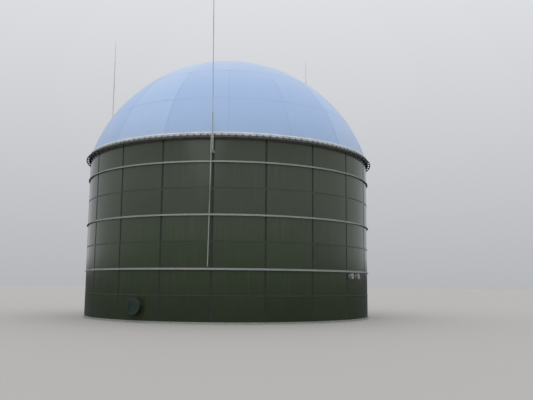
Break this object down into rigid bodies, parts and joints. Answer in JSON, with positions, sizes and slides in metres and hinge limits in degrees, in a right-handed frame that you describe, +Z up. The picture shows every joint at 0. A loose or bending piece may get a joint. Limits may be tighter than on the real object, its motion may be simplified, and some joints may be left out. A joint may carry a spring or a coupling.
{
  "type": "biogas digester tank with membrane roof",
  "caption": "Round bolted enamelled steel digester tank with wind girders, an air-held membrane dome roof, a manway and lightning masts.",
  "frame": {"origin": "centre of the base slab's underside, on the ground", "axes": "+Z up the tank's axis, -Y towards the seam that carries the front lightning mast, +X to the right seen from the front"},
  "size_m": [15.78, 15.8369, 17],
  "materials": {
    "enamel_wall": "glossy dark green glass enamel on steel sheet",
    "galvanised_angle": "hot-dip galvanised, dull and lightly weathered",
    "galvanised_pipe": "galvanised pipe with light brown staining",
    "rim_steel": "dark paint, weathered and dusty",
    "outer_membrane": "pale blue coated fabric, taut and faintly sheened, with welded seams",
    "membrane_edge": "white coated fabric",
    "manway_paint": "dark green paint, half gloss",
    "nozzle_steel": "galvanised, dull",
    "concrete": "plain grey concrete"
  },
  "bodies": {
    "root": {"base_slab": "concrete", "base_angle": "galvanised_angle", "wall_column_01": "enamel_wall", "wall_column_02": "enamel_wall", "wall_column_03": "enamel_wall", "wall_column_04": "enamel_wall", "wall_column_05": "enamel_wall", "wall_column_06": "enamel_wall", "wall_column_07": "enamel_wall", "wall_column_08": "enamel_wall", "wall_column_09": "enamel_wall", "wall_column_10": "enamel_wall", "wall_column_11": "enamel_wall", "wall_column_12": "enamel_wall", "wall_column_13": "enamel_wall", "wall_column_14": "enamel_wall", "wall_column_15": "enamel_wall", "wall_column_16": "enamel_wall", "wall_column_17": "enamel_wall", "wall_column_18": "enamel_wall", "wall_column_19": "enamel_wall", "wall_column_20": "enamel_wall", "wind_girder_low": "galvanised_angle", "wind_girder_middle": "galvanised_angle", "wind_girder_high": "galvanised_angle", "rim_channel": "rim_steel", "rim_rail": "rim_steel", "membrane_foot": "membrane_edge", "clamp_ring": "galvanised_angle", "membrane_lower": "outer_membrane", "membrane_upper": "outer_membrane", "membrane_crown": "outer_membrane", "mast_front": "galvanised_pipe", "down_pipe_front": "galvanised_pipe", "mast_bracket_front": "galvanised_pipe", "mast_left": "galvanised_pipe", "down_pipe_left": "galvanised_pipe", "mast_bracket_left": "galvanised_pipe", "mast_right": "galvanised_pipe", "down_pipe_right": "galvanised_pipe", "mast_bracket_right": "galvanised_pipe", "manway_frame": "enamel_wall", "manway_cover": "manway_paint", "nozzle_left": "nozzle_steel", "nozzle_right": "nozzle_steel"}
  },
  "joints": []
}
